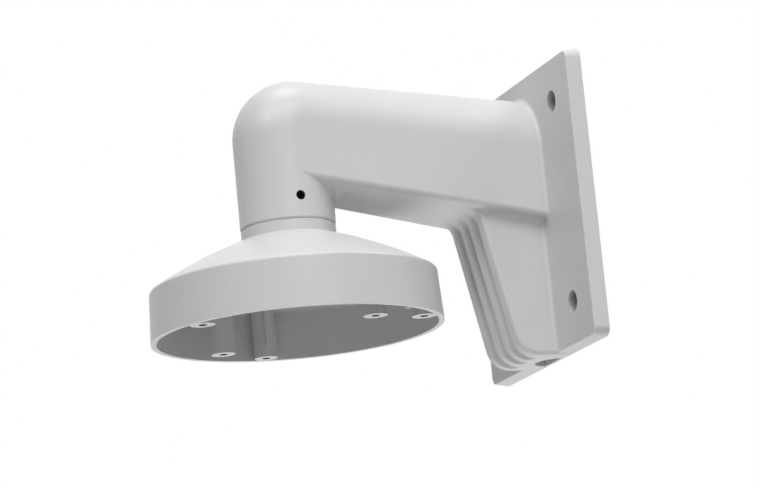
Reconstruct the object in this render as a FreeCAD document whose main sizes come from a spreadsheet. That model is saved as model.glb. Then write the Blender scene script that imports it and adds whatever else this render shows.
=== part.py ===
import FreeCAD, Part
import math
import os

import Sketcher

os.makedirs("parts", exist_ok=True)

# A bracket that holds a dome camera out from a wall. The origin is the centre of the
# plate's back face: X runs sideways along the wall, -Y points out into the room, Z is up.
# Sizes are millimetres and degrees.
SIZES = {
    # Wall plate
    "plate_width": 116.0,
    "plate_height": 120.0,
    "plate_thickness": 6.5,
    "plate_draft_angle": 7.8,
    "plate_corner_radius": 4.0,
    "plate_edge_radius": 0.6,
    "wall_hole_spacing_x": 76.8,
    "wall_hole_spacing_z": 84.0,
    "wall_hole_radius": 4.6,
    # Arm and elbow
    "arm_reach": 112.2,
    "arm_half_width": 19.7,
    "arm_root_half_width": 24.2,
    "arm_top_at_wall": 50.5,
    "arm_top_slope": 5.56,
    "arm_underside_at_wall": -4.3,
    "arm_underside_slope": 10.8,
    "arm_edge_radius": 2.3,
    "elbow_outer_radius": 24.9,
    "arm_wall": 3.7,
    "root_radius": 1.6,
    # Collar at the end of the arm
    "collar_end": -0.45,
    "collar_bore_radius": 15.5,
    "collar_edge_chamfer": 0.6,
    # Ribbed brace under the arm
    "brace_half_width": 17.15,
    "brace_draft_angle": 0.9,
    "brace_front_at_centre": 34.8,
    "brace_front_slope": 11.5,
    "brace_top_radius": 8.0,
    "brace_foot_radius": 10.0,
    "brace_edge_radius": 1.8,
    "brace_front_wall": 6.5,
    "brace_side_wall": 4.0,
    "brace_floor": 6.0,
    "brace_hollow_radius": 3.0,
    "cable_slot_depth": 14.0,
    # Grooves down the front of the brace
    "groove_count": 3,
    "groove_pitch": 9.6,
    "groove_radius": 3.0,
    "groove_lift": 0.6,
    "groove_foot_exit": 34.0,
    "groove_top_radius": 6.0,
    "groove_top_clearance": 3.2,
    # Cable notch with its knock-out web
    "notch_radius": 9.2,
    "notch_web": 1.5,
    # Camera cap
    "cap_rim_radius": 60.0,
    "cap_shoulder_radius": 58.95,
    "cap_shoulder_height": 20.8,
    "cap_shoulder_fillet": 1.5,
    "cap_dome_radius": 224.0,
    "cap_neck_foot_height": 39.2,
    "cap_height": 44.1,
    "cap_wall": 2.6,
    "cap_rim_wall": 2.3,
    "cap_turn": 176.6,
    "neck_radius": 19.5,
    "neck_edge_chamfer": 0.7,
    "spigot_clearance": 0.2,
    "spigot_length": 18.0,
    "cable_bore_radius": 12.5,
    # Screw bosses and pillars inside the cap
    "boss_circle_radius": 53.0,
    "boss_radius": 5.0,
    "boss_count": 3,
    "boss_hole_radius": 1.7,
    "boss_hole_depth": 12.0,
    "boss_rib_width": 2.4,
    "boss_rib_tip_radius": 45.5,
    "boss_rib_rise": 4.2,
    "pillar_circle_radius": 42.2,
    "pillar_radius": 5.0,
    "pillar_turn": 32.7,
    "pillar_drop": 0.8,
    # Lock screw
    "lock_screw_height": 8.8,
    "lock_screw_radius": 1.9,
    "lock_screw_clearance": 0.1,
    "lock_screw_recess": 0.9,
    "lock_screw_chamfer": 0.4,
    "lock_screw_socket_flats": 2.0,
    "lock_screw_socket_depth": 1.6,
}

# Places that follow from the sizes.
PLACES = {
    # Pivot line of the elbow, and the straight part of the arm's arched section
    "arch_straight": "Sizes.elbow_outer_radius - Sizes.arm_half_width",
    "elbow_y": "Sizes.elbow_outer_radius - Sizes.arm_half_width - Sizes.arm_reach",
    "elbow_z": "Sizes.arm_top_at_wall"
               " - (Sizes.elbow_outer_radius + elbow_y * sin(Sizes.arm_top_slope))"
               " / cos(Sizes.arm_top_slope)",
    "arch_foot_at_wall": "Sizes.arm_top_at_wall - Sizes.arm_root_half_width - arch_straight",
    # Underside of the arm below the elbow's pivot line and below the collar's axis
    "underside_at_elbow": "Sizes.arm_underside_at_wall"
                          " - elbow_y * tan(Sizes.arm_underside_slope)",
    "underside_at_collar": "Sizes.arm_underside_at_wall"
                           " + Sizes.arm_reach * tan(Sizes.arm_underside_slope)",
    "floor_rise": "Sizes.arm_wall / cos(Sizes.arm_underside_slope)",
    # The brace ends level with the plate; where its front meets the bottom and the arm
    "brace_bottom": "-Sizes.plate_height / 2",
    "brace_foot_y": "-Sizes.brace_front_at_centre - brace_bottom * tan(Sizes.brace_front_slope)",
    "brace_top_y": "-(Sizes.brace_front_at_centre"
                   " + Sizes.arm_underside_at_wall * tan(Sizes.brace_front_slope))"
                   " / (1 - tan(Sizes.arm_underside_slope) * tan(Sizes.brace_front_slope))",
    "brace_top_z": "Sizes.arm_underside_at_wall"
                   " - brace_top_y * tan(Sizes.arm_underside_slope)",
    # Hollow of the brace, whose top is the underside of the arm
    "hollow_front_at_centre": "Sizes.brace_front_at_centre"
                              " - Sizes.brace_front_wall / cos(Sizes.brace_front_slope)",
    "hollow_floor": "brace_bottom + Sizes.brace_floor",
    "hollow_floor_y": "-hollow_front_at_centre - hollow_floor * tan(Sizes.brace_front_slope)",
    "hollow_top_y": "-(hollow_front_at_centre"
                    " + Sizes.arm_underside_at_wall * tan(Sizes.brace_front_slope))"
                    " / (1 - tan(Sizes.arm_underside_slope) * tan(Sizes.brace_front_slope))",
    "hollow_top_z": "Sizes.arm_underside_at_wall"
                    " - hollow_top_y * tan(Sizes.arm_underside_slope)",
    # Path of the groove cutter: parallel to the front, leaving it at the foot and the top
    "groove_front_at_centre": "Sizes.brace_front_at_centre"
                              " + Sizes.groove_lift / cos(Sizes.brace_front_slope)",
    "groove_foot_radius": "Sizes.brace_foot_radius + Sizes.groove_lift",
    "groove_foot_reach": "groove_foot_radius"
                         " * tan((90 - Sizes.brace_front_slope - Sizes.groove_foot_exit) / 2)",
    "groove_foot_centre_z": "brace_bottom + Sizes.brace_foot_radius",
    "groove_foot_z": "groove_foot_centre_z"
                     " - groove_foot_radius * sin(Sizes.brace_front_slope)"
                     " - groove_foot_reach * cos(Sizes.brace_front_slope)",
    "groove_foot_y": "-groove_front_at_centre - groove_foot_z * tan(Sizes.brace_front_slope)",
    "groove_exit_run": "groove_foot_reach + Sizes.brace_foot_radius",
    "groove_exit_y": "groove_foot_y + groove_exit_run * cos(Sizes.groove_foot_exit)",
    "groove_exit_z": "groove_foot_z - groove_exit_run * sin(Sizes.groove_foot_exit)",
    "groove_ceiling_at_wall": "Sizes.arm_underside_at_wall"
                              " - Sizes.groove_top_clearance / cos(Sizes.arm_underside_slope)",
    "groove_top_y": "-(groove_front_at_centre"
                    " + groove_ceiling_at_wall * tan(Sizes.brace_front_slope))"
                    " / (1 - tan(Sizes.arm_underside_slope) * tan(Sizes.brace_front_slope))",
    "groove_top_z": "groove_ceiling_at_wall - groove_top_y * tan(Sizes.arm_underside_slope)",
    "groove_end_y": "groove_top_y - Sizes.groove_top_radius",
    "groove_end_z": "groove_ceiling_at_wall - groove_end_y * tan(Sizes.arm_underside_slope)",
    # Half the width of the notch at its web, and a plane just behind the wall plate
    "notch_web_half": "sqrt(Sizes.notch_radius ^ 2 - Sizes.notch_web ^ 2)",
    "behind_plate": "Sizes.plate_thickness",
    # Centre of the dome's arc in the cap's section
    "dome_run": "Sizes.cap_shoulder_radius - Sizes.neck_radius",
    "dome_drop": "Sizes.cap_neck_foot_height - Sizes.cap_shoulder_height",
    "dome_chord": "sqrt(dome_run ^ 2 + dome_drop ^ 2)",
    "dome_depth": "sqrt(Sizes.cap_dome_radius ^ 2 - (dome_chord / 2) ^ 2)",
    "dome_centre_r": "(Sizes.cap_shoulder_radius + Sizes.neck_radius) / 2"
                     " - dome_depth * dome_drop / dome_chord",
    "dome_centre_z": "(Sizes.cap_shoulder_height + Sizes.cap_neck_foot_height) / 2"
                     " - dome_depth * dome_run / dome_chord",
    "spigot_radius": "Sizes.collar_bore_radius - Sizes.spigot_clearance",
    "spigot_top": "Sizes.cap_height + Sizes.spigot_length",
    # Inside of the cap: a straight ceiling, one wall below the dome at both its ends
    "ceiling_radius": "Sizes.cap_dome_radius - Sizes.cap_wall",
    "rim_inner_radius": "Sizes.cap_rim_radius - Sizes.cap_rim_wall",
    "ceiling_edge_r": "Sizes.cap_shoulder_radius - Sizes.cap_rim_wall",
    "ceiling_edge_z": "dome_centre_z + sqrt(ceiling_radius ^ 2"
                      " - (ceiling_edge_r - dome_centre_r) ^ 2)",
    "ceiling_bore_z": "dome_centre_z + sqrt(ceiling_radius ^ 2"
                      " - (Sizes.cable_bore_radius - dome_centre_r) ^ 2)",
    # Seats of the lock screw, from the cap's axis
    "lock_screw_tip": "spigot_radius",
    "lock_screw_head": "Sizes.arm_half_width - Sizes.lock_screw_recess",
}

doc = FreeCAD.newDocument("CameraWallBracket")


def fill_sheet(name, cells, prefix):
    """Write each name in column A, and its value in column B with the name as its alias."""
    sheet = doc.addObject("Spreadsheet::Sheet", name)
    for row, (alias, content) in enumerate(cells.items(), start=1):
        sheet.set("A%d" % row, alias)
        sheet.set("B%d" % row, prefix + str(content))
        sheet.setAlias("B%d" % row, alias)
    doc.recompute()
    return sheet


sizes = fill_sheet("Sizes", SIZES, "")
places = fill_sheet("Places", PLACES, "=")


def new_body(name):
    """Start a sub-part, whose label names its file."""
    body = doc.addObject("PartDesign::Body", name)
    body.Label = name
    return body


def origin_feature(body, role):
    """Find one of the body's own origin planes or axes."""
    return next(feature for feature in body.Origin.OriginFeatures if feature.Role == role)


def new_sketch(body, name, plane, along=None, across=None, above=None):
    """Attach a sketch to an origin plane, moved by expressions along the plane's own axes."""
    sketch = body.newObject("Sketcher::SketchObject", name)
    sketch.AttachmentSupport = [(origin_feature(body, plane), "")]
    sketch.MapMode = "FlatFace"
    for letter, expression in (("x", along), ("y", across), ("z", above)):
        if expression:
            sketch.setExpression("AttachmentOffset.Base." + letter, expression)
    return sketch


def tilt(sketch, axis, expression):
    """Turn a sketch on its plane about one of the plane's axes."""
    angle = sketch.evalExpression(expression)
    offset = sketch.AttachmentOffset
    offset.Rotation = FreeCAD.Rotation(axis, angle)
    sketch.AttachmentOffset = offset
    sketch.setExpression("AttachmentOffset.Rotation.Angle", expression)


def bind(sketch, kind, arguments, expression):
    """Add a constraint whose value follows an expression."""
    value = float(sketch.evalExpression(expression))
    index = sketch.addConstraint(Sketcher.Constraint(kind, *arguments, value))
    sketch.setExpression("Constraints[%d]" % index, expression)


def place_point(sketch, geometry, position, x, y):
    """Tie a point to the sketch's origin; an expression of "0" puts it on the axis."""
    for kind, expression, axis in (("DistanceX", x, -2), ("DistanceY", y, -1)):
        if expression == "0":
            sketch.addConstraint(Sketcher.Constraint("PointOnObject", geometry, position, axis))
        else:
            bind(sketch, kind, (-1, 1, geometry, position), expression)


def join(sketch, first, first_end, second, second_end):
    """Make two edge ends meet."""
    sketch.addConstraint(Sketcher.Constraint("Coincident", first, first_end, second, second_end))


def spot(sketch, x, y):
    """The point that a pair of expressions stands for."""
    return FreeCAD.Vector(float(sketch.evalExpression(x)), float(sketch.evalExpression(y)), 0)


def round_corner(before, corner, after, radius):
    """Where a rounded corner's arc starts and ends, its centre, and 1 if it turns left."""
    way_in = (corner - before).normalize()
    way_out = (after - corner).normalize()
    turn = 1 if way_in.cross(way_out).z > 0 else -1
    reach = radius * math.tan(way_in.getAngle(way_out) / 2)
    start = corner - way_in * reach
    centre = start + FreeCAD.Vector(-way_in.y, way_in.x, 0) * radius * turn
    return start, corner + way_out * reach, centre, turn


def outline(sketch, corners, closed=True):
    """Draw straight edges through corners given as (x, y), or (x, y, radius) where rounded."""
    count = len(corners)
    spots = [spot(sketch, corner[0], corner[1]) for corner in corners]
    arcs = {}
    for number, corner in enumerate(corners):
        if len(corner) == 3:
            radius = float(sketch.evalExpression(corner[2]))
            before = spots[number - 1]
            after = spots[(number + 1) % count]
            arcs[number] = round_corner(before, spots[number], after, radius) + (radius,)
    lines = []
    for number in range(count if closed else count - 1):
        following = (number + 1) % count
        start = arcs[number][1] if number in arcs else spots[number]
        end = arcs[following][0] if following in arcs else spots[following]
        lines.append(sketch.addGeometry(Part.LineSegment(start, end), False))
    for number, corner in enumerate(corners):
        line_in = lines[number - 1] if closed or number > 0 else None
        line_out = lines[number] if number < len(lines) else None
        if number in arcs:
            fit_arc(sketch, line_in, line_out, spots[number], corner, arcs[number])
        elif line_in is None:
            place_point(sketch, line_out, 1, corner[0], corner[1])
        elif line_out is None:
            place_point(sketch, line_in, 2, corner[0], corner[1])
        else:
            join(sketch, line_in, 2, line_out, 1)
            place_point(sketch, line_out, 1, corner[0], corner[1])
    return sketch


def fit_arc(sketch, line_in, line_out, corner_spot, corner, arc):
    """Round one corner: the corner itself stays as a construction point on both lines."""
    start, end, centre, turn, radius = arc
    circle = Part.Circle(centre, FreeCAD.Vector(0, 0, 1), radius)
    first, last = (start, end) if turn > 0 else (end, start)
    curve = Part.ArcOfCircle(circle, circle.parameter(first), circle.parameter(last))
    edge = sketch.addGeometry(curve, False)
    entry, leave = (1, 2) if turn > 0 else (2, 1)
    sketch.addConstraint(Sketcher.Constraint("Tangent", line_in, 2, edge, entry))
    sketch.addConstraint(Sketcher.Constraint("Tangent", edge, leave, line_out, 1))
    point = sketch.addGeometry(Part.Point(corner_spot), True)
    for line in (line_in, line_out):
        sketch.addConstraint(Sketcher.Constraint("PointOnObject", point, 1, line))
    place_point(sketch, point, 1, corner[0], corner[1])
    bind(sketch, "Radius", (edge,), corner[2])


def polyline(sketch, corners, arc):
    """Draw straight edges from the end of an arc, placed by shallow_arc, back to its start."""
    spots = [spot(sketch, *corner) for corner in corners]
    previous, previous_end = arc, 1
    for number in range(len(corners) - 1):
        edge = sketch.addGeometry(Part.LineSegment(spots[number], spots[number + 1]), False)
        join(sketch, previous, previous_end, edge, 1)
        if number < len(corners) - 2:
            place_point(sketch, edge, 2, *corners[number + 1])
        previous, previous_end = edge, 2
    join(sketch, previous, previous_end, arc, 2)


def hexagon(sketch, corner_radius):
    """Draw a hexagon about the origin with its corners at a radius."""
    outline(sketch, [
        ("(%s) * %s" % (corner_radius, cosine), "(%s) * %s" % (corner_radius, sine))
        for cosine, sine in (("cos(30)", "sin(30)"), ("cos(90)", "sin(90)"),
                             ("cos(150)", "sin(150)"), ("cos(210)", "sin(210)"),
                             ("cos(270)", "sin(270)"), ("cos(330)", "sin(330)"))
    ])


def arch(sketch, half_width, straight, side):
    """Draw an arch that stands on the sketch's x axis: straight sides and a half-round top."""
    signed = "%d * (%s)" % (side, straight)
    left_foot = spot(sketch, "-(%s)" % half_width, "0")
    right_foot = spot(sketch, half_width, "0")
    left_shoulder = spot(sketch, "-(%s)" % half_width, signed)
    right_shoulder = spot(sketch, half_width, signed)
    base = sketch.addGeometry(Part.LineSegment(left_foot, right_foot), False)
    right = sketch.addGeometry(Part.LineSegment(right_foot, right_shoulder), False)
    left = sketch.addGeometry(Part.LineSegment(left_shoulder, left_foot), False)
    crown = FreeCAD.Vector(0, left_shoulder.y + side * right_foot.x, 0)
    top = sketch.addGeometry(Part.Arc(right_shoulder, crown, left_shoulder), False)
    join(sketch, base, 2, right, 1)
    join(sketch, left, 2, base, 1)
    right_end, left_end = (1, 2) if side > 0 else (2, 1)
    join(sketch, right, 2, top, right_end)
    join(sketch, left, 1, top, left_end)
    place_point(sketch, base, 1, "-(%s)" % half_width, "0")
    place_point(sketch, base, 2, half_width, "0")
    place_point(sketch, right, 2, half_width, signed)
    place_point(sketch, left, 1, "-(%s)" % half_width, signed)
    bind(sketch, "DistanceY", (-1, 1, top, 3), signed)
    return sketch


def circle(sketch, x, y, radius):
    """Draw a circle."""
    centre = spot(sketch, x, y)
    size = float(sketch.evalExpression(radius))
    edge = sketch.addGeometry(Part.Circle(centre, FreeCAD.Vector(0, 0, 1), size), False)
    place_point(sketch, edge, 3, x, y)
    bind(sketch, "Radius", (edge,), radius)
    return sketch


def half_disc(sketch, radius, web, web_half):
    """Draw the part of a disc about the origin that lies beyond a flat chord, towards -y."""
    size = float(sketch.evalExpression(radius))
    left = spot(sketch, "-(%s)" % web_half, "-(%s)" % web)
    right = spot(sketch, web_half, "-(%s)" % web)
    bottom = FreeCAD.Vector(0, -size, 0)
    round_side = sketch.addGeometry(Part.Arc(left, bottom, right), False)
    chord = sketch.addGeometry(Part.LineSegment(right, left), False)
    join(sketch, round_side, 2, chord, 1)
    join(sketch, chord, 2, round_side, 1)
    place_point(sketch, chord, 1, web_half, "-(%s)" % web)
    bind(sketch, "DistanceY", (-1, 1, chord, 2), "-(%s)" % web)
    sketch.addConstraint(Sketcher.Constraint("PointOnObject", round_side, 3, -1))
    sketch.addConstraint(Sketcher.Constraint("PointOnObject", round_side, 3, -2))
    return sketch


def shallow_arc(sketch, start, end, radius):
    """Draw an arc that bulges to the left of the way from start to end."""
    size = float(sketch.evalExpression(radius))
    first = spot(sketch, *start)
    last = spot(sketch, *end)
    middle = (first + last) / 2
    way = last - first
    inward = FreeCAD.Vector(way.y, -way.x, 0).normalize()
    centre = middle + inward * math.sqrt(size ** 2 - (way.Length / 2) ** 2)
    ring = Part.Circle(centre, FreeCAD.Vector(0, 0, 1), size)
    curve = Part.ArcOfCircle(ring, ring.parameter(last), ring.parameter(first))
    edge = sketch.addGeometry(curve, False)
    place_point(sketch, edge, 2, *start)
    place_point(sketch, edge, 1, *end)
    bind(sketch, "Radius", (edge,), radius)
    return edge


def extrude(kind, sketch, length, side="One side", backwards=False):
    """Pad or pocket a sketch; a length of None goes through everything."""
    body = sketch.getParentGeoFeatureGroup()
    feature = body.newObject("PartDesign::" + kind, sketch.Name + kind)
    feature.Profile = sketch
    feature.SideType = side
    feature.Reversed = backwards
    if length is None:
        feature.Type = "ThroughAll"
    else:
        feature.setExpression("Length", length)
    doc.recompute()
    return feature


def turn(kind, sketch, axis, angle, backwards=False):
    """Revolve or groove a sketch about one of its own axes."""
    body = sketch.getParentGeoFeatureGroup()
    feature = body.newObject("PartDesign::" + kind, sketch.Name + kind)
    feature.Profile = sketch
    feature.ReferenceAxis = (sketch, [axis])
    feature.setExpression("Angle", angle)
    feature.Reversed = backwards
    doc.recompute()
    return feature


def loft(kind, sections):
    """Join sketches that stand one behind another with straight-ruled faces."""
    body = sections[0].getParentGeoFeatureGroup()
    feature = body.newObject("PartDesign::" + kind, sections[0].Name + kind)
    feature.Profile = sections[0]
    feature.Sections = [(sketch, "") for sketch in sections[1:]]
    feature.Ruled = True
    doc.recompute()
    return feature


def dress(kind, body, name, chosen, size_name, expression):
    """Fillet or chamfer the edges of the body's last feature that the test chooses."""
    base = body.Tip
    edges = []
    for number, edge in enumerate(base.Shape.Edges, start=1):
        first, last = edge.ParameterRange
        points = [edge.valueAt(first + (last - first) * step / 6) for step in range(7)]
        if all(chosen(point) for point in points):
            edges.append("Edge%d" % number)
    feature = body.newObject("PartDesign::" + kind, name)
    feature.Base = (base, edges)
    feature.setExpression(size_name, expression)
    doc.recompute()
    return feature


def build_brace():
    """The brace under the arm, with its foot and its blend into the arm rounded."""
    body = new_body("BraceForm")
    brace = new_sketch(body, "Brace", "YZ_Plane")
    outline(brace, [
        ("0", "Places.brace_bottom"),
        ("Places.brace_foot_y", "Places.brace_bottom", "Sizes.brace_foot_radius"),
        ("Places.brace_top_y", "Places.brace_top_z", "Sizes.brace_top_radius"),
        ("Places.brace_top_y - Sizes.brace_top_radius",
         "Places.brace_top_z + Sizes.brace_top_radius * tan(Sizes.arm_underside_slope)"),
        ("Places.brace_top_y - Sizes.brace_top_radius",
         "Places.brace_top_z + Sizes.brace_top_radius * tan(Sizes.arm_underside_slope)"
         " + Sizes.arm_wall"),
        ("0", "Sizes.arm_underside_at_wall + Sizes.arm_wall"),
    ])
    extrude("Pad", brace, "3 * Sizes.brace_half_width", side="Symmetric")

    # Trim its sides, which lean in towards the top
    lean = "Sizes.plate_height * tan(Sizes.brace_draft_angle)"
    for name, side in (("BraceLeft", "-"), ("BraceRight", "")):
        trim = new_sketch(body, name, "XZ_Plane")
        outline(trim, [
            (side + "(Sizes.brace_half_width + %s)" % lean, "-Sizes.plate_height"),
            (side + "2 * Sizes.brace_half_width", "-Sizes.plate_height"),
            (side + "2 * Sizes.brace_half_width", "Sizes.plate_height"),
            (side + "(Sizes.brace_half_width - %s)" % lean, "Sizes.plate_height"),
        ])
        extrude("Pocket", trim, None, backwards=True)
    front_slope = math.tan(math.radians(sizes.brace_front_slope))
    side_slope = math.tan(math.radians(sizes.brace_draft_angle))

    def on_front_edge(point):
        front = -sizes.brace_front_at_centre - front_slope * point.z
        side = sizes.brace_half_width - side_slope * point.z
        return abs(abs(point.x) - side) < 0.01 and abs(point.y - front) < 0.01

    dress("Fillet", body, "BraceEdgeRounds", on_front_edge, "Radius", "Sizes.brace_edge_radius")
    return body


def arm_lower_half(body, kind, name, inset, rise, radius=None):
    """The arm below its arch, or the hollow in it: straight to the elbow, then flared."""
    stations = (
        ("Wall", "Sizes.arm_root_half_width", "Sizes.arm_underside_at_wall",
         "Places.arch_foot_at_wall", None),
        ("Elbow", "Sizes.arm_half_width", "Places.underside_at_elbow",
         "Places.elbow_z", "-Places.elbow_y"),
        ("Collar", "Sizes.arm_half_width", "Places.underside_at_collar",
         "Places.elbow_z", "Sizes.arm_reach"),
    )
    sections = []
    for station, half_width, floor, top, distance in stations:
        section = new_sketch(body, name + station, "XZ_Plane", above=distance)
        left = "-(%s - %s)" % (half_width, inset)
        right = "%s - %s" % (half_width, inset)
        bottom = "%s + %s" % (floor, rise)
        corner = (radius,) if radius else ()
        outline(section, [
            (left, bottom) + corner,
            (right, bottom) + corner,
            (right, top),
            (left, top),
        ])
        sections.append(section)
    return loft(kind, sections)


def arm_upper_half(body, kind, name, inset):
    """The arch of the arm, or the hollow in it, from the elbow's tilted end to the wall."""
    elbow_end = new_sketch(body, name + "Elbow", "XZ_Plane", across="Places.elbow_z",
                           above="-Places.elbow_y")
    tilt(elbow_end, FreeCAD.Vector(1, 0, 0), "-Sizes.arm_top_slope")
    arch(elbow_end, "Sizes.arm_half_width - %s" % inset, "Places.arch_straight", 1)
    wall_end = new_sketch(body, name + "Wall", "XZ_Plane", across="Places.arch_foot_at_wall")
    arch(wall_end, "Sizes.arm_root_half_width - %s" % inset, "Places.arch_straight", 1)
    return loft(kind, [elbow_end, wall_end])


def build_wall_arm():
    """The casting that carries everything: wall plate, arm, ribbed brace, elbow and collar."""
    body = new_body("wall_arm")
    half = "Sizes.arm_half_width"
    hollow_half = "Sizes.arm_half_width - Sizes.arm_wall"

    # Wall plate with drafted sides and a slightly rounded front edge
    plate = new_sketch(body, "WallPlate", "XZ_Plane")
    outline(plate, [
        ("-Sizes.plate_width / 2", "-Sizes.plate_height / 2", "Sizes.plate_corner_radius"),
        ("Sizes.plate_width / 2", "-Sizes.plate_height / 2", "Sizes.plate_corner_radius"),
        ("Sizes.plate_width / 2", "Sizes.plate_height / 2", "Sizes.plate_corner_radius"),
        ("-Sizes.plate_width / 2", "Sizes.plate_height / 2", "Sizes.plate_corner_radius"),
    ])
    slab = extrude("Pad", plate, "Sizes.plate_thickness")
    slab.setExpression("TaperAngle", "-Sizes.plate_draft_angle")
    doc.recompute()

    def on_plate_front(point):
        return abs(point.y + sizes.plate_thickness) < 0.01

    dress("Fillet", body, "PlateEdgeRound", on_plate_front, "Radius", "Sizes.plate_edge_radius")

    # Arm that widens towards the wall, its collar, and the elbow between them
    arm_lower_half(body, "AdditiveLoft", "Arm", "0", "0", "Sizes.arm_edge_radius")
    ring = new_sketch(body, "Collar", "XZ_Plane", above="Sizes.arm_reach")
    outline(ring, [
        ("0", "Sizes.collar_end"),
        ("Sizes.arm_half_width - Sizes.collar_edge_chamfer", "Sizes.collar_end"),
        (half, "Sizes.collar_end + Sizes.collar_edge_chamfer"),
        (half, "Places.elbow_z"),
        ("0", "Places.elbow_z"),
    ])
    turn("Revolution", ring, "V_Axis", "360")
    bend = new_sketch(body, "Elbow", "XY_Plane", across="Places.elbow_y", above="Places.elbow_z")
    arch(bend, half, "Places.arch_straight", -1)
    turn("Revolution", bend, "H_Axis", "90 + Sizes.arm_top_slope", backwards=True)
    arm_upper_half(body, "AdditiveLoft", "Arch", "0")

    # Add the brace
    joined = body.newObject("PartDesign::Boolean", "WithBrace")
    joined.Type = "Fuse"
    joined.setObjects([build_brace()])
    body.Tip = joined
    doc.recompute()

    def on_root(point):
        return (abs(point.y + sizes.plate_thickness) < 0.01
                and abs(point.x) < sizes.wall_hole_spacing_x / 2)

    dress("Fillet", body, "ArmRoot", on_root, "Radius", "Sizes.root_radius")

    # Grooves down the front of the brace, which run out at the foot and at the top
    path = new_sketch(body, "GroovePath", "YZ_Plane",
                      above="-(Sizes.groove_count - 1) / 2 * Sizes.groove_pitch")
    outline(path, [
        ("Places.groove_exit_y", "Places.groove_exit_z"),
        ("Places.groove_foot_y", "Places.groove_foot_z", "Places.groove_foot_radius"),
        ("Places.groove_top_y", "Places.groove_top_z", "Sizes.groove_top_radius"),
        ("Places.groove_end_y", "Places.groove_end_z"),
    ], closed=False)
    doc.recompute()
    cutter = body.newObject("Sketcher::SketchObject", "GrooveCutter")
    cutter.AttachmentSupport = [(path, "Edge1")]
    cutter.MapMode = "NormalToEdge"
    cutter.MapPathParameter = 0
    circle(cutter, "0", "0", "Sizes.groove_radius")
    doc.recompute()
    groove = body.newObject("PartDesign::SubtractivePipe", "Groove")
    groove.Profile = cutter
    groove.Spine = (path, [])
    doc.recompute()
    grooves = body.newObject("PartDesign::LinearPattern", "Grooves")
    grooves.Originals = [groove]
    grooves.Direction = (origin_feature(body, "X_Axis"), [""])
    grooves.setExpression("Length", "(Sizes.groove_count - 1) * Sizes.groove_pitch")
    grooves.setExpression("Occurrences", "Sizes.groove_count")
    body.Tip = grooves
    doc.recompute()

    # Hollow of the arm: the outer form again, one wall thickness smaller
    arm_lower_half(body, "SubtractiveLoft", "Hollow", "Sizes.arm_wall", "Places.floor_rise")
    arm_upper_half(body, "SubtractiveLoft", "ArchHollow", "Sizes.arm_wall")
    knee = new_sketch(body, "ElbowHollow", "XY_Plane", across="Places.elbow_y",
                      above="Places.elbow_z")
    arch(knee, hollow_half, "Places.arch_straight", -1)
    turn("Groove", knee, "H_Axis", "90 + Sizes.arm_top_slope", backwards=True)
    drop = new_sketch(body, "CollarHollow", "XY_Plane", above="Places.elbow_z")
    circle(drop, "0", "-Sizes.arm_reach", hollow_half)
    extrude("Pocket", drop,
            "Places.elbow_z - Places.underside_at_collar - Places.floor_rise")
    bore = new_sketch(body, "CollarBore", "XY_Plane", above="Sizes.collar_end")
    circle(bore, "0", "-Sizes.arm_reach", "Sizes.collar_bore_radius")
    extrude("Pocket", bore,
            "Places.underside_at_collar + Places.floor_rise - Sizes.collar_end",
            backwards=True)

    # Hollow of the brace, open at the wall, with a slot up into the arm for the cable
    pocket = new_sketch(body, "BraceHollow", "YZ_Plane")
    outline(pocket, [
        ("Places.behind_plate", "Places.hollow_floor"),
        ("Places.hollow_floor_y", "Places.hollow_floor", "Sizes.brace_hollow_radius"),
        ("Places.hollow_top_y", "Places.hollow_top_z", "Sizes.brace_hollow_radius"),
        ("-Sizes.cable_slot_depth",
         "Sizes.arm_underside_at_wall + Sizes.cable_slot_depth * tan(Sizes.arm_underside_slope)"),
        ("-Sizes.cable_slot_depth",
         "Sizes.arm_underside_at_wall + Sizes.cable_slot_depth * tan(Sizes.arm_underside_slope)"
         " + 2 * Places.floor_rise"),
        ("Places.behind_plate", "Sizes.arm_underside_at_wall + 2 * Places.floor_rise"),
    ])
    extrude("Pocket", pocket, "2 * (Sizes.brace_half_width - Sizes.brace_side_wall)",
            side="Symmetric")

    # Half-round cable notch in the bottom edge, closed at the wall by a thin web
    notch = new_sketch(body, "CableNotch", "XY_Plane", above="Places.hollow_floor")
    half_disc(notch, "Sizes.notch_radius", "Sizes.notch_web", "Places.notch_web_half")
    extrude("Pocket", notch, None)

    # Holes for the wall screws, and the hole for the lock screw in the collar's side
    holes = new_sketch(body, "WallHoles", "XZ_Plane")
    for across in ("-Sizes.wall_hole_spacing_x / 2", "Sizes.wall_hole_spacing_x / 2"):
        for up in ("-Sizes.wall_hole_spacing_z / 2", "Sizes.wall_hole_spacing_z / 2"):
            circle(holes, across, up, "Sizes.wall_hole_radius")
    extrude("Pocket", holes, None, backwards=True)
    tapped = new_sketch(body, "LockScrewHole", "YZ_Plane")
    circle(tapped, "-Sizes.arm_reach", "Sizes.lock_screw_height",
           "Sizes.lock_screw_radius + Sizes.lock_screw_clearance")
    extrude("Pocket", tapped, None, backwards=True)
    return body


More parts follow.
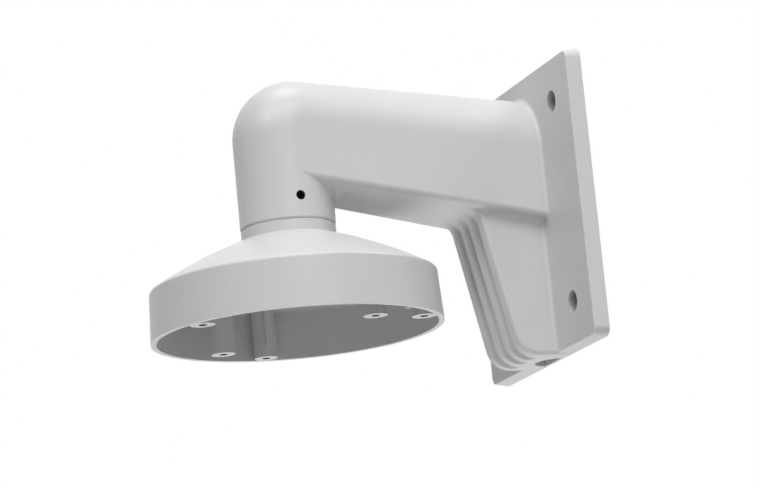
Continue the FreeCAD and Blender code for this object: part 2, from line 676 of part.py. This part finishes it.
def build_cap_core():
    """The hollow of the cap as a solid, with the bosses, pillars and ribs left out of it."""
    body = new_body("CapCore")
    section = new_sketch(body, "CoreSection", "XZ_Plane")
    outline(section, [
        ("Sizes.cable_bore_radius", "Places.ceiling_bore_z"),
        ("Places.ceiling_edge_r", "Places.ceiling_edge_z"),
        ("Places.rim_inner_radius", "0"),
        ("Places.rim_inner_radius", "-Sizes.cap_wall"),
        ("0", "-Sizes.cap_wall"),
        ("0", "Places.spigot_top + Sizes.cap_wall"),
        ("Sizes.cable_bore_radius", "Places.spigot_top + Sizes.cap_wall"),
    ])
    turn("Revolution", section, "V_Axis", "360")

    # The rib behind each boss starts a little above the rim
    boss = new_sketch(body, "Boss", "XY_Plane", above="-2 * Sizes.cap_wall")
    circle(boss, "Sizes.boss_circle_radius", "0", "Sizes.boss_radius")
    extrude("Pocket", boss, "Places.spigot_top", backwards=True)
    rib = new_sketch(body, "BossRib", "XY_Plane", above="Sizes.boss_rib_rise")
    outline(rib, [
        ("Sizes.boss_rib_tip_radius", "-Sizes.boss_rib_width / 2"),
        ("Sizes.boss_circle_radius", "-Sizes.boss_rib_width / 2"),
        ("Sizes.boss_circle_radius", "Sizes.boss_rib_width / 2"),
        ("Sizes.boss_rib_tip_radius", "Sizes.boss_rib_width / 2"),
    ])
    extrude("Pocket", rib, "Places.spigot_top", backwards=True)
    bosses = body.newObject("PartDesign::PolarPattern", "Bosses")
    bosses.Originals = [body.getObject("BossPocket"), body.getObject("BossRibPocket")]
    bosses.Axis = (origin_feature(body, "Z_Axis"), [""])
    bosses.setExpression("Occurrences", "Sizes.boss_count")
    body.Tip = bosses
    doc.recompute()

    # Two pillars that face each other across the cap
    pillars = new_sketch(body, "Pillars", "XY_Plane", above="-2 * Sizes.cap_wall")
    tilt(pillars, FreeCAD.Vector(0, 0, 1), "Sizes.pillar_turn")
    circle(pillars, "Sizes.pillar_circle_radius", "0", "Sizes.pillar_radius")
    circle(pillars, "-Sizes.pillar_circle_radius", "0", "Sizes.pillar_radius")
    extrude("Pocket", pillars, "Places.spigot_top", backwards=True)
    return body


def build_camera_cap():
    """The domed casting that the camera screws to, with the spigot that enters the collar."""
    body = new_body("camera_cap")
    section = new_sketch(body, "CapSection", "XZ_Plane")
    dome = shallow_arc(section,
                       ("Sizes.neck_radius", "Sizes.cap_neck_foot_height"),
                       ("Sizes.cap_shoulder_radius", "Sizes.cap_shoulder_height"),
                       "Sizes.cap_dome_radius")
    polyline(section, [
        ("Sizes.cap_shoulder_radius", "Sizes.cap_shoulder_height"),
        ("Sizes.cap_rim_radius", "0"),
        ("0", "0"),
        ("0", "Places.spigot_top"),
        ("Places.spigot_radius - Sizes.neck_edge_chamfer", "Places.spigot_top"),
        ("Places.spigot_radius", "Places.spigot_top - Sizes.neck_edge_chamfer"),
        ("Places.spigot_radius", "Sizes.cap_height"),
        ("Sizes.neck_radius - Sizes.neck_edge_chamfer", "Sizes.cap_height"),
        ("Sizes.neck_radius", "Sizes.cap_height - Sizes.neck_edge_chamfer"),
        ("Sizes.neck_radius", "Sizes.cap_neck_foot_height"),
    ], dome)
    turn("Revolution", section, "V_Axis", "360")

    def on_shoulder(point):
        from_axis = math.hypot(point.x, point.y)
        return (abs(from_axis - sizes.cap_shoulder_radius) < 0.01
                and abs(point.z - sizes.cap_shoulder_height) < 0.01)

    dress("Fillet", body, "CapShoulder", on_shoulder, "Radius", "Sizes.cap_shoulder_fillet")

    # Take out the hollow, then drill the bosses and pillars
    hollow = body.newObject("PartDesign::Boolean", "CapHollow")
    hollow.Type = "Cut"
    hollow.setObjects([build_cap_core()])
    body.Tip = hollow
    doc.recompute()
    feet = new_sketch(body, "PillarFeet", "XY_Plane", above="-Sizes.pillar_drop")
    tilt(feet, FreeCAD.Vector(0, 0, 1), "Sizes.pillar_turn")
    circle(feet, "Sizes.pillar_circle_radius", "0", "Sizes.pillar_radius")
    circle(feet, "-Sizes.pillar_circle_radius", "0", "Sizes.pillar_radius")
    extrude("Pad", feet, "Sizes.pillar_drop + Sizes.cap_wall")
    taps = new_sketch(body, "PillarTaps", "XY_Plane", above="-Sizes.pillar_drop")
    tilt(taps, FreeCAD.Vector(0, 0, 1), "Sizes.pillar_turn")
    circle(taps, "Sizes.pillar_circle_radius", "0", "Sizes.boss_hole_radius")
    circle(taps, "-Sizes.pillar_circle_radius", "0", "Sizes.boss_hole_radius")
    extrude("Pocket", taps, "Sizes.boss_hole_depth", backwards=True)
    tap = new_sketch(body, "BossTap", "XY_Plane")
    circle(tap, "Sizes.boss_circle_radius", "0", "Sizes.boss_hole_radius")
    drilled = extrude("Pocket", tap, "Sizes.boss_hole_depth", backwards=True)
    pattern = body.newObject("PartDesign::PolarPattern", "BossTaps")
    pattern.Originals = [drilled]
    pattern.Axis = (origin_feature(body, "Z_Axis"), [""])
    pattern.setExpression("Occurrences", "Sizes.boss_count")
    body.Tip = pattern
    doc.recompute()

    # The cap stands on the collar's axis; the turn says how far it is screwed in
    upright = FreeCAD.Vector(0, 0, 1)
    body.Placement = FreeCAD.Placement(FreeCAD.Vector(0, 0, 0),
                                       FreeCAD.Rotation(upright, sizes.cap_turn))
    body.setExpression("Placement.Base.y", "-Sizes.arm_reach")
    body.setExpression("Placement.Base.z", "Sizes.collar_end - Sizes.cap_height")
    body.setExpression("Placement.Rotation.Angle", "Sizes.cap_turn")
    return body


def build_lock_screw():
    """The set screw in the collar that bears on the spigot and stops the cap from turning."""
    body = new_body("lock_screw")
    section = new_sketch(body, "ScrewSection", "XY_Plane", across="-Sizes.arm_reach",
                         above="Sizes.lock_screw_height")
    outline(section, [
        ("Places.lock_screw_tip", "0"),
        ("Places.lock_screw_head", "0"),
        ("Places.lock_screw_head", "Sizes.lock_screw_radius - Sizes.lock_screw_chamfer"),
        ("Places.lock_screw_head - Sizes.lock_screw_chamfer", "Sizes.lock_screw_radius"),
        ("Places.lock_screw_tip + Sizes.lock_screw_chamfer", "Sizes.lock_screw_radius"),
        ("Places.lock_screw_tip", "Sizes.lock_screw_radius - Sizes.lock_screw_chamfer"),
    ])
    turn("Revolution", section, "H_Axis", "360")
    socket = new_sketch(body, "ScrewSocket", "YZ_Plane", along="-Sizes.arm_reach",
                        across="Sizes.lock_screw_height", above="Places.lock_screw_head")
    hexagon(socket, "Sizes.lock_screw_socket_flats / sqrt(3)")
    extrude("Pocket", socket, "Sizes.lock_screw_socket_depth")
    return body


def check_model(sub_parts):
    """Stop if any feature failed, any sketch is loose, or any cut or pad changed nothing."""
    for thing in doc.Objects:
        if "Invalid" in thing.State or "Error" in thing.State:
            raise RuntimeError("%s failed: %s" % (thing.Name, thing.State))
        if thing.TypeId == "Sketcher::SketchObject" and not thing.FullyConstrained:
            raise RuntimeError("%s is not fully constrained" % thing.Name)
        base = getattr(thing, "BaseFeature", None)
        if base is not None and abs(base.Shape.Volume - thing.Shape.Volume) < 0.001:
            raise RuntimeError("%s changed nothing" % thing.Name)
    for sub_part in sub_parts:
        shape = sub_part.Shape
        if shape.isNull() or not shape.isValid() or len(shape.Solids) != 1:
            raise RuntimeError("%s is not one valid solid" % sub_part.Label)


wall_arm = build_wall_arm()
camera_cap = build_camera_cap()
lock_screw = build_lock_screw()
doc.recompute()
check_model([wall_arm, camera_cap, lock_screw])
for sub_part in (wall_arm, camera_cap, lock_screw):
    sub_part.Shape.exportStep("parts/%s.step" % sub_part.Label)
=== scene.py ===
import math

import bmesh
import bpy
from mathutils import Matrix, Vector


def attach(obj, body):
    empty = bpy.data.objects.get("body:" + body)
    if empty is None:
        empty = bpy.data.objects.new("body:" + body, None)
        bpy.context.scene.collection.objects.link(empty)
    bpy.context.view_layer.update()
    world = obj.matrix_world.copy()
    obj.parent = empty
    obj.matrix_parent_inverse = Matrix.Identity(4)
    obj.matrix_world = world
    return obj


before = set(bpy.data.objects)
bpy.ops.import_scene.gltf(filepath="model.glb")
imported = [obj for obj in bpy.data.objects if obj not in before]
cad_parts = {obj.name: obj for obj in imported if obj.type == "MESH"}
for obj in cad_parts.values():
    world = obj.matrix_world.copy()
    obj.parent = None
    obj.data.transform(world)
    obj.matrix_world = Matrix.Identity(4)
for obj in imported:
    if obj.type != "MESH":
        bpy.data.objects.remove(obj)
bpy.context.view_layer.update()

# Wall arm: plate, braced arm and down-turned collar in one aluminium die casting.
# After fettling it is sprayed all over with a fine-textured powder and baked, so every
# face of it, inside and out, has the same satin light grey skin.
COAT_GREY = 0.66
COAT_ROUGHNESS = 0.36

# Patterns of the skin: cells to the metre, detail and roughness of the noise, the middle
# range of it that is used, and what that range turns into
FLOW_NOISE = (45.0, 3.0, 0.55)
FLOW_MIDDLE = (0.3, 0.7)
FLOW_TONE = (0.99, 1.01)
PEEL_NOISE = (620.0, 2.0, 0.5)
PEEL_HEIGHT = 0.00004
GRAIN_NOISE = (2600.0, 2.0, 0.6)
GRAIN_MIDDLE = (0.25, 0.75)
GRAIN_TONE = (0.975, 1.025)
GRAIN_GLOSS = (-0.05, 0.05)
GRAIN_HEIGHT = 0.00004
NOUGHT_TO_ONE = (0.0, 1.0)


def join(tree, value, node, socket):
    """Give an input of a node its value: a wire from another node, or a fixed one."""
    if isinstance(value, bpy.types.NodeSocket):
        tree.links.new(value, node.inputs[socket])
    else:
        node.inputs[socket].default_value = value


def work_out(tree, operation, first, second=0.0):
    """One step of arithmetic on the values of a material."""
    step = tree.nodes.new("ShaderNodeMath")
    step.operation = operation
    join(tree, first, step, 0)
    join(tree, second, step, 1)
    return step.outputs[0]


def noise(tree, place, cells, detail, roughness):
    """A noise pattern, fixed to the casting, with this many cells to the metre."""
    pattern = tree.nodes.new("ShaderNodeTexNoise")
    join(tree, cells, pattern, "Scale")
    join(tree, detail, pattern, "Detail")
    join(tree, roughness, pattern, "Roughness")
    join(tree, place.outputs["Object"], pattern, "Vector")
    return pattern.outputs[0]


def spread(tree, value, within, onto):
    """Stretch one range of a value over another, and hold it at the ends."""
    ramp = tree.nodes.new("ShaderNodeMapRange")
    for socket, end in zip(("From Min", "From Max", "To Min", "To Max"), (*within, *onto)):
        join(tree, end, ramp, socket)
    join(tree, value, ramp, "Value")
    return ramp.outputs["Result"]


def relief(tree, pattern, height, below=None):
    """Raise the surface by a pattern, on top of a coarser relief if there is one."""
    bump = tree.nodes.new("ShaderNodeBump")
    join(tree, 1.0, bump, "Strength")
    join(tree, height, bump, "Distance")
    join(tree, pattern, bump, "Height")
    if below is not None:
        join(tree, below, bump, "Normal")
    return bump.outputs["Normal"]


def as_grey(tree, value):
    """The grey of this value, as a colour."""
    colour = tree.nodes.new("ShaderNodeCombineColor")
    for channel in ("Red", "Green", "Blue"):
        join(tree, value, colour, channel)
    return colour.outputs["Color"]


def powder_skin():
    """The effect that a baked powder makes: flow marks, orange peel and fine grain."""
    group = bpy.data.node_groups.new("powder_skin", "ShaderNodeTree")
    group.interface.new_socket("Grey", in_out="INPUT", socket_type="NodeSocketFloat")
    group.interface.new_socket("Gloss", in_out="INPUT", socket_type="NodeSocketFloat")
    group.interface.new_socket("Colour", in_out="OUTPUT", socket_type="NodeSocketColor")
    group.interface.new_socket("Roughness", in_out="OUTPUT", socket_type="NodeSocketFloat")
    group.interface.new_socket("Normal", in_out="OUTPUT", socket_type="NodeSocketVector")
    given = group.nodes.new("NodeGroupInput")
    result = group.nodes.new("NodeGroupOutput")
    place = group.nodes.new("ShaderNodeTexCoord")

    flow = noise(group, place, *FLOW_NOISE)
    peel = noise(group, place, *PEEL_NOISE)
    grain = noise(group, place, *GRAIN_NOISE)

    tone = work_out(group, "MULTIPLY",
                    spread(group, flow, FLOW_MIDDLE, FLOW_TONE),
                    spread(group, grain, GRAIN_MIDDLE, GRAIN_TONE))
    grey = work_out(group, "MULTIPLY", tone, given.outputs["Grey"])
    join(group, as_grey(group, grey), result, "Colour")

    rough = work_out(group, "ADD",
                     spread(group, grain, GRAIN_MIDDLE, GRAIN_GLOSS), given.outputs["Gloss"])
    rough.node.use_clamp = True
    join(group, rough, result, "Roughness")

    soft = relief(group, peel, PEEL_HEIGHT)
    join(group, relief(group, grain, GRAIN_HEIGHT, soft), result, "Normal")
    return group


POWDER_SKIN = powder_skin()


def coated_casting(name):
    """Powder coat over a casting, as one material."""
    material = bpy.data.materials.new(name)
    material.use_nodes = True
    tree = material.node_tree
    shader = tree.nodes["Principled BSDF"]
    skin = tree.nodes.new("ShaderNodeGroup")
    skin.node_tree = POWDER_SKIN
    join(tree, COAT_GREY, skin, "Grey")
    join(tree, COAT_ROUGHNESS, skin, "Gloss")
    join(tree, skin.outputs["Colour"], shader, "Base Color")
    join(tree, skin.outputs["Roughness"], shader, "Roughness")
    join(tree, skin.outputs["Normal"], shader, "Normal")
    return material


def finish_with(node, material):
    """Give a carried-over part its finish."""
    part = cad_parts[node]
    part.data.materials.clear()
    part.data.materials.append(material)


def across(tree, first, second):
    """How far a point is from an axis, from its two distances across it."""
    return work_out(tree, "SQRT", work_out(
        tree, "ADD",
        work_out(tree, "MULTIPLY", first, first),
        work_out(tree, "MULTIPLY", second, second)))


def place_on(tree):
    """The three coordinates of a point of the casting, in metres."""
    place = tree.nodes.new("ShaderNodeTexCoord")
    parted = tree.nodes.new("ShaderNodeSeparateXYZ")
    join(tree, place.outputs["Object"], parted, "Vector")
    return parted.outputs["X"], parted.outputs["Y"], parted.outputs["Z"]


def refinish(material, mask, grey, gloss, metal=0.0):
    """Give what a mask marks on a coated casting another colour, gloss and metal; here it
    paints shade into hollows.
    """
    tree = material.node_tree
    skin = next(node for node in tree.nodes if node.type == "GROUP")
    for socket, new_value in (("Grey", grey), ("Gloss", gloss)):
        inlet = skin.inputs[socket]
        before = inlet.links[0].from_socket if inlet.is_linked else inlet.default_value
        join(tree, spread(tree, mask, NOUGHT_TO_ONE, (before, new_value)), skin, socket)
    if metal:
        share = work_out(tree, "MULTIPLY", mask, metal)
        join(tree, share, tree.nodes["Principled BSDF"], "Metallic")


# The wall screws' holes are painted darker deeper in, with some metal in the shader:
# painted shade inside the bores, from their mouths inwards.
WALL_HOLE_X = 0.0384
WALL_HOLE_Z = 0.042
WALL_HOLE_EDGE = 0.0047
WALL_HOLE_MOUTH = -0.0062
WALL_HOLE_DARKEST = -0.0025
HOLE_SHADE_GREY = 0.04
HOLE_GLOSS = 0.3
HOLE_SHADE_METAL = 0.4

arm_coat = coated_casting("arm_coat")
arm_tree = arm_coat.node_tree
side_way, out_way, up_way = place_on(arm_tree)
from_hole = across(
    arm_tree,
    work_out(arm_tree, "SUBTRACT", work_out(arm_tree, "ABSOLUTE", side_way), WALL_HOLE_X),
    work_out(arm_tree, "SUBTRACT", work_out(arm_tree, "ABSOLUTE", up_way), WALL_HOLE_Z))
# Painted shade in the wall screws' bores, darkest deeper in
wall_hole_shade = work_out(
    arm_tree, "MULTIPLY",
    work_out(arm_tree, "LESS_THAN", from_hole, WALL_HOLE_EDGE),
    spread(arm_tree, out_way, (WALL_HOLE_MOUTH, WALL_HOLE_DARKEST), NOUGHT_TO_ONE))
refinish(arm_coat, wall_hole_shade, HOLE_SHADE_GREY, HOLE_GLOSS, HOLE_SHADE_METAL)
finish_with("wall_arm", arm_coat)

# Casting blends: the rounded inside corners under the arm, where it runs into the collar
# and stands out over the brace's sides. They are part of the arm's casting and fade out
# where its lower edges turn in.
UNDERSIDE_AT_WALL = -0.0043
UNDERSIDE_SLOPE = 10.8
FLAT_HALF_WIDTH = 0.0174
COLLAR_RADIUS = 0.0197
COLLAR_AXIS_Y = -0.1122
COLLAR_BLEND = 0.005
COLLAR_BLEND_STEPS = 48
COLLAR_BLEND_LEAST = 0.04
COLLAR_BLEND_SHORT = 0.02
BRACE_HALF_WIDTH = 0.01715
BRACE_DRAFT = 0.9
LEDGE_BLEND = 0.0026
LEDGE_START_Y = -0.0062
LEDGE_FADE = ((-0.0315, 1.0), (-0.0332, 0.85), (-0.0346, 0.6), (-0.0357, 0.32),
              (-0.0366, 0.06))
SUNK = 0.0006
ARC_STEPS = 10
QUARTER_TURN = math.radians(90.0)
CREASE = math.radians(35.0)
SAME_PLACE = 0.0000005
ALMOST_NOUGHT = 0.001


def corner_strip(shape, radius):
    """The section of a rounded inside corner at the origin, its back sunk in the metal."""
    rim = [(-SUNK, -radius), (-SUNK, SUNK), (radius, SUNK)]
    for step in range(ARC_STEPS + 1):
        turned = QUARTER_TURN * step / ARC_STEPS
        rim.append((radius - radius * math.sin(turned), -radius + radius * math.cos(turned)))
    return shape.faces.new([shape.verts.new((x, 0.0, z)) for x, z in rim])


def finish_blend(name, shape):
    """Make a blend a piece of the arm, with the coat of the casting."""
    bmesh.ops.remove_doubles(shape, verts=shape.verts, dist=SAME_PLACE)
    bmesh.ops.recalc_face_normals(shape, faces=shape.faces)
    for face in shape.faces:
        face.smooth = True
    for edge in shape.edges:
        if len(edge.link_faces) == 2 and edge.calc_face_angle() > CREASE:
            edge.smooth = False
    mesh = bpy.data.meshes.new(name)
    shape.to_mesh(mesh)
    shape.free()
    piece = bpy.data.objects.new(name, mesh)
    bpy.context.scene.collection.objects.link(piece)
    mesh.materials.append(arm_coat)
    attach(piece, "root")


lean = math.tan(math.radians(UNDERSIDE_SLOPE))
follow_underside = Matrix(((1.0, 0.0, 0.0, 0.0),
                           (0.0, 1.0, 0.0, 0.0),
                           (0.0, -lean, 1.0, UNDERSIDE_AT_WALL),
                           (0.0, 0.0, 0.0, 1.0)))

# Round the collar: a ring section, drawn in to nothing where the underside's edge turns in
widest = math.asin(FLAT_HALF_WIDTH / COLLAR_RADIUS) - COLLAR_BLEND_SHORT
collar_blend = bmesh.new()
section = corner_strip(collar_blend, COLLAR_BLEND)
bmesh.ops.translate(collar_blend, verts=collar_blend.verts, vec=(COLLAR_RADIUS, 0.0, 0.0))
bmesh.ops.rotate(collar_blend, verts=collar_blend.verts, cent=(0.0, 0.0, 0.0),
                 matrix=Matrix.Rotation(QUARTER_TURN - widest, 3, "Z"))
bmesh.ops.spin(collar_blend, geom=[section] + section.edges[:] + section.verts[:],
               cent=(0.0, 0.0, 0.0), axis=(0.0, 0.0, 1.0), angle=2.0 * widest,
               steps=COLLAR_BLEND_STEPS)
for vert in collar_blend.verts:
    swing = abs(math.atan2(vert.co.x, vert.co.y))
    reach = FLAT_HALF_WIDTH / max(math.sin(swing), ALMOST_NOUGHT) - COLLAR_RADIUS
    share = max(min(reach / COLLAR_BLEND, 1.0), COLLAR_BLEND_LEAST)
    corner = Vector((vert.co.x, vert.co.y, 0.0)).normalized() * COLLAR_RADIUS
    bmesh.ops.scale(collar_blend, verts=[vert], vec=(share, share, share),
                    space=Matrix.Translation(-corner))
bmesh.ops.translate(collar_blend, verts=collar_blend.verts, vec=(0.0, COLLAR_AXIS_Y, 0.0))
bmesh.ops.transform(collar_blend, verts=collar_blend.verts, matrix=follow_underside)
finish_blend("collar_blend", collar_blend)

# Along both sides of the brace: a straight run from the plate that fades out at the front
for side, name in ((1.0, "ledge_blend_right"), (-1.0, "ledge_blend_left")):
    ledge = bmesh.new()
    section = corner_strip(ledge, LEDGE_BLEND)
    bmesh.ops.translate(ledge, verts=ledge.verts, vec=(0.0, LEDGE_START_Y, 0.0))
    for stop, share in LEDGE_FADE:
        start = section.calc_center_median().y
        grown = bmesh.ops.extrude_face_region(ledge, geom=[section])
        section = next(item for item in grown["geom"] if isinstance(item, bmesh.types.BMFace))
        bmesh.ops.translate(ledge, verts=section.verts, vec=(0.0, stop - start, 0.0))
        wide = max(abs(vert.co.x) for vert in section.verts)
        bmesh.ops.scale(ledge, verts=section.verts,
                        vec=(share * LEDGE_BLEND / wide, 1.0, share * LEDGE_BLEND / wide))
    bmesh.ops.transform(ledge, verts=ledge.verts, matrix=follow_underside)
    for vert in ledge.verts:
        foot_z = UNDERSIDE_AT_WALL - lean * vert.co.y
        vert.co.x += BRACE_HALF_WIDTH - foot_z * math.tan(math.radians(BRACE_DRAFT))
    bmesh.ops.scale(ledge, verts=ledge.verts, vec=(side, 1.0, 1.0))
    finish_blend(name, ledge)

# Camera cap: a round domed casting in the same powder coat, screwed up into the collar
# by its spigot. Its inside is painted darker, in a fine grain, as painted shade, and its
# bosses' and pillars' tapped holes are painted near black as painted shade.
CAP_INSIDE_SHADE_GREY = 0.52
CAP_INSIDE_GLOSS = 0.55
CAP_WALL_RADIUS = 0.0582
CAP_RIM_EDGE = -0.0455
CAP_FOOT_EDGE = -0.0440
CAP_FOOT_FACING = -0.9
CEILING_SLOPE = 0.4664
CEILING_AT_AXIS = 0.00294
SHADE_GRAIN_NOISE = (1700.0, 2.0, 0.7)
SHADE_GRAIN_MIDDLE = (0.35, 0.65)
SHADE_GRAIN_SHARE = (0.6, 1.0)

# Tapped holes: how far from the cap's axis, and the angle round it
TAPPED_SHADE_GREY = 0.03
TAPPED_EDGE = 0.00176
TAPPED_DEPTH = -0.0300
TAPPED = ((0.053, 176.6), (0.053, 296.6), (0.053, 56.6), (0.0422, 209.3), (0.0422, 29.3))

cap_coat = coated_casting("cap_coat")
cap_tree = cap_coat.node_tree
side_way, out_way, up_way = place_on(cap_tree)
from_axis = across(cap_tree, side_way, work_out(cap_tree, "SUBTRACT", out_way, COLLAR_AXIS_Y))
under_ceiling = work_out(
    cap_tree, "LESS_THAN",
    work_out(cap_tree, "ADD", up_way, work_out(cap_tree, "MULTIPLY", from_axis, CEILING_SLOPE)),
    CEILING_AT_AXIS)
within_wall = work_out(
    cap_tree, "MULTIPLY",
    work_out(cap_tree, "LESS_THAN", from_axis, CAP_WALL_RADIUS),
    work_out(cap_tree, "GREATER_THAN", up_way, CAP_RIM_EDGE))
inside = work_out(cap_tree, "MULTIPLY", under_ceiling, within_wall)
cap_place = cap_tree.nodes.new("ShaderNodeTexCoord")
facing = cap_tree.nodes.new("ShaderNodeSeparateXYZ")
join(cap_tree, cap_place.outputs["Normal"], facing, "Vector")
foot = work_out(
    cap_tree, "MULTIPLY",
    work_out(cap_tree, "LESS_THAN", facing.outputs["Z"], CAP_FOOT_FACING),
    work_out(cap_tree, "LESS_THAN", up_way, CAP_FOOT_EDGE))
# Painted shade inside the cap, except on the bosses' feet, its strength varied by a fine grain
shade_grain = spread(
    cap_tree, noise(cap_tree, cap_place, *SHADE_GRAIN_NOISE), SHADE_GRAIN_MIDDLE, SHADE_GRAIN_SHARE)
cap_inside_shade = work_out(
    cap_tree, "MULTIPLY",
    work_out(cap_tree, "MULTIPLY", inside, work_out(cap_tree, "SUBTRACT", 1.0, foot)),
    shade_grain)
refinish(cap_coat, cap_inside_shade, CAP_INSIDE_SHADE_GREY, CAP_INSIDE_GLOSS)

# Painted shade in the tapped holes of the bosses and pillars, near black below a depth
tapped_hole_shade = 0.0
for circle, turned in TAPPED:
    hole_x = circle * math.cos(math.radians(turned))
    hole_y = COLLAR_AXIS_Y + circle * math.sin(math.radians(turned))
    from_hole = across(
        cap_tree,
        work_out(cap_tree, "SUBTRACT", side_way, hole_x),
        work_out(cap_tree, "SUBTRACT", out_way, hole_y))
    tapped_hole_shade = work_out(
        cap_tree, "MAXIMUM", tapped_hole_shade, work_out(cap_tree, "LESS_THAN", from_hole, TAPPED_EDGE))
tapped_hole_shade = work_out(
    cap_tree, "MULTIPLY", tapped_hole_shade, work_out(cap_tree, "LESS_THAN", up_way, TAPPED_DEPTH))
refinish(cap_coat, tapped_hole_shade, TAPPED_SHADE_GREY, HOLE_GLOSS)
finish_with("camera_cap", cap_coat)

# Lock screw: a small headless steel screw with a hexagon socket, in black oxide,
# sunk in the side of the collar, where it keeps the cap from turning.
OXIDE_NOISE = (1800.0, 3.0, 0.6)
OXIDE_MIDDLE = (0.3, 0.7)
OXIDE_TONE = (0.0042, 0.0078)
OXIDE_ROUGHNESS = (0.42, 0.58)
OXIDE_HEIGHT = 0.00002


def black_oxide(name):
    """Black oxide on machined steel: dark, dull and faintly mottled."""
    material = bpy.data.materials.new(name)
    material.use_nodes = True
    tree = material.node_tree
    shader = tree.nodes["Principled BSDF"]
    mottle = noise(tree, tree.nodes.new("ShaderNodeTexCoord"), *OXIDE_NOISE)
    join(tree, 1.0, shader, "Metallic")
    join(tree, as_grey(tree, spread(tree, mottle, OXIDE_MIDDLE, OXIDE_TONE)),
         shader, "Base Color")
    join(tree, spread(tree, mottle, OXIDE_MIDDLE, OXIDE_ROUGHNESS), shader, "Roughness")
    join(tree, relief(tree, mottle, OXIDE_HEIGHT), shader, "Normal")
    return material


finish_with("lock_screw", black_oxide("screw_oxide"))

# Studio floor: a broad pale sheet well below the bracket, which hangs where a wall
# would hold it. It is not part of the object.
FLOOR_HEIGHT = -0.7
FLOOR_SIZE = 14.0
FLOOR_GREY = (0.56, 0.56, 0.56, 1.0)
FLOOR_ROUGHNESS = 0.9
FLOOR_SHINE = 0.2
FLOOR_GLOW = 0.95
FLOOR_GLOW_SHARE = 0.75


def seen_directly(tree):
    """One for what the eye sees, or a mirror or glass shows it, and nought for all else."""
    ray = tree.nodes.new("ShaderNodeLightPath")
    seen = work_out(tree, "ADD", ray.outputs["Is Camera Ray"], ray.outputs["Is Glossy Ray"])
    seen = work_out(tree, "ADD", seen, ray.outputs["Is Transmission Ray"])
    return work_out(tree, "MINIMUM", seen, 1.0)


def mix(tree, share, first, second, end):
    """Blend two shaders by a share and lead them to the end of the tree."""
    blend = tree.nodes.new("ShaderNodeMixShader")
    for socket, value in enumerate((share, first.outputs[0], second.outputs[0])):
        join(tree, value, blend, socket)
    join(tree, blend.outputs[0], tree.nodes[end], "Surface")


bpy.ops.mesh.primitive_plane_add(size=FLOOR_SIZE, location=(0.0, 0.0, FLOOR_HEIGHT))
floor = bpy.context.object
floor.name = "studio_floor"
floor_paint = bpy.data.materials.new("floor_paint")
floor_paint.use_nodes = True
floor_tree = floor_paint.node_tree
floor_matt = floor_tree.nodes["Principled BSDF"]
join(floor_tree, FLOOR_GREY, floor_matt, "Base Color")
join(floor_tree, FLOOR_ROUGHNESS, floor_matt, "Roughness")
join(floor_tree, FLOOR_SHINE, floor_matt, "Specular IOR Level")
floor_pale = floor_tree.nodes.new("ShaderNodeEmission")
join(floor_tree, FLOOR_GLOW, floor_pale, "Strength")
glow_share = work_out(floor_tree, "MULTIPLY", seen_directly(floor_tree), FLOOR_GLOW_SHARE)
mix(floor_tree, glow_share, floor_matt, floor_pale, "Material Output")
floor.data.materials.append(floor_paint)

# Studio light: four broad lamps above the bracket, a weak one level with it on the
# camera's side, and a small one under it, near the floor. The room is plain white
# to the eye and to whatever mirrors it.
WHITE = (1.0, 1.0, 1.0, 1.0)
ROOM_LEVEL = 0.08
ROOM_SEEN_LEVEL = 1.0
LAMP_AIM = (0.0, -0.06, 0.0)

# Each lamp: its place, the side of its square and its power
LAMPS = {
    "overhead": ((0.0, -0.06, 2.6), 1.2, 20.5),
    "right": ((1.93, -0.25, 1.73), 1.2, 20.0),
    "front": ((1.15, -1.55, 1.79), 1.2, 23.0),
    "wall_side": ((0.75, 1.6, 1.83), 1.2, 18.5),
    "right_level": ((2.56, -0.32, 0.38), 1.2, 8.0),
    "low": ((-0.24, -0.02, -0.6), 0.3, 1.6),
}

scene = bpy.context.scene
scene.view_settings.view_transform = "Standard"
room = bpy.data.worlds.new("studio_room")
scene.world = room
room.use_nodes = True
room_tree = room.node_tree
room_light = room_tree.nodes["Background"]
room_seen = room_tree.nodes.new("ShaderNodeBackground")
for shade, level in ((room_light, ROOM_LEVEL), (room_seen, ROOM_SEEN_LEVEL)):
    join(room_tree, WHITE, shade, "Color")
    join(room_tree, level, shade, "Strength")
mix(room_tree, seen_directly(room_tree), room_light, room_seen, "World Output")

for lamp_name, (lamp_place, size, power) in LAMPS.items():
    lamp_data = bpy.data.lights.new(lamp_name, "AREA")
    lamp_data.size = size
    lamp_data.energy = power
    lamp = bpy.data.objects.new(lamp_name, lamp_data)
    scene.collection.objects.link(lamp)
    lamp.location = lamp_place
    lamp.visible_camera = False
    # The lamp below only fills: it shows in no shiny face
    lamp.visible_glossy = lamp_place[2] > 0.0
    away = [place - point for place, point in zip(lamp_place, LAMP_AIM)]
    lamp.rotation_euler = (
        math.atan2(math.hypot(away[0], away[1]), away[2]),
        0.0,
        math.atan2(away[0], -away[1]),
    )

# Camera: below the bracket and to its side, looking up at it through a long lens, as
# the reference picture was taken.
CAMERA_PLACE = (1.341832, -0.572338, -0.303505)
CAMERA_TURN = (101.715168, 5.435544, 70.714334)
LENS = 167.98
SENSOR_WIDTH = 36.0
NEAREST = 0.05
FARTHEST = 60.0

camera_data = bpy.data.cameras.new("camera")
camera_data.sensor_width = SENSOR_WIDTH
camera_data.lens = LENS
camera_data.clip_start = NEAREST
camera_data.clip_end = FARTHEST
camera = bpy.data.objects.new("camera", camera_data)
scene.collection.objects.link(camera)
camera.location = CAMERA_PLACE
camera.rotation_euler = [math.radians(angle) for angle in CAMERA_TURN]
scene.camera = camera
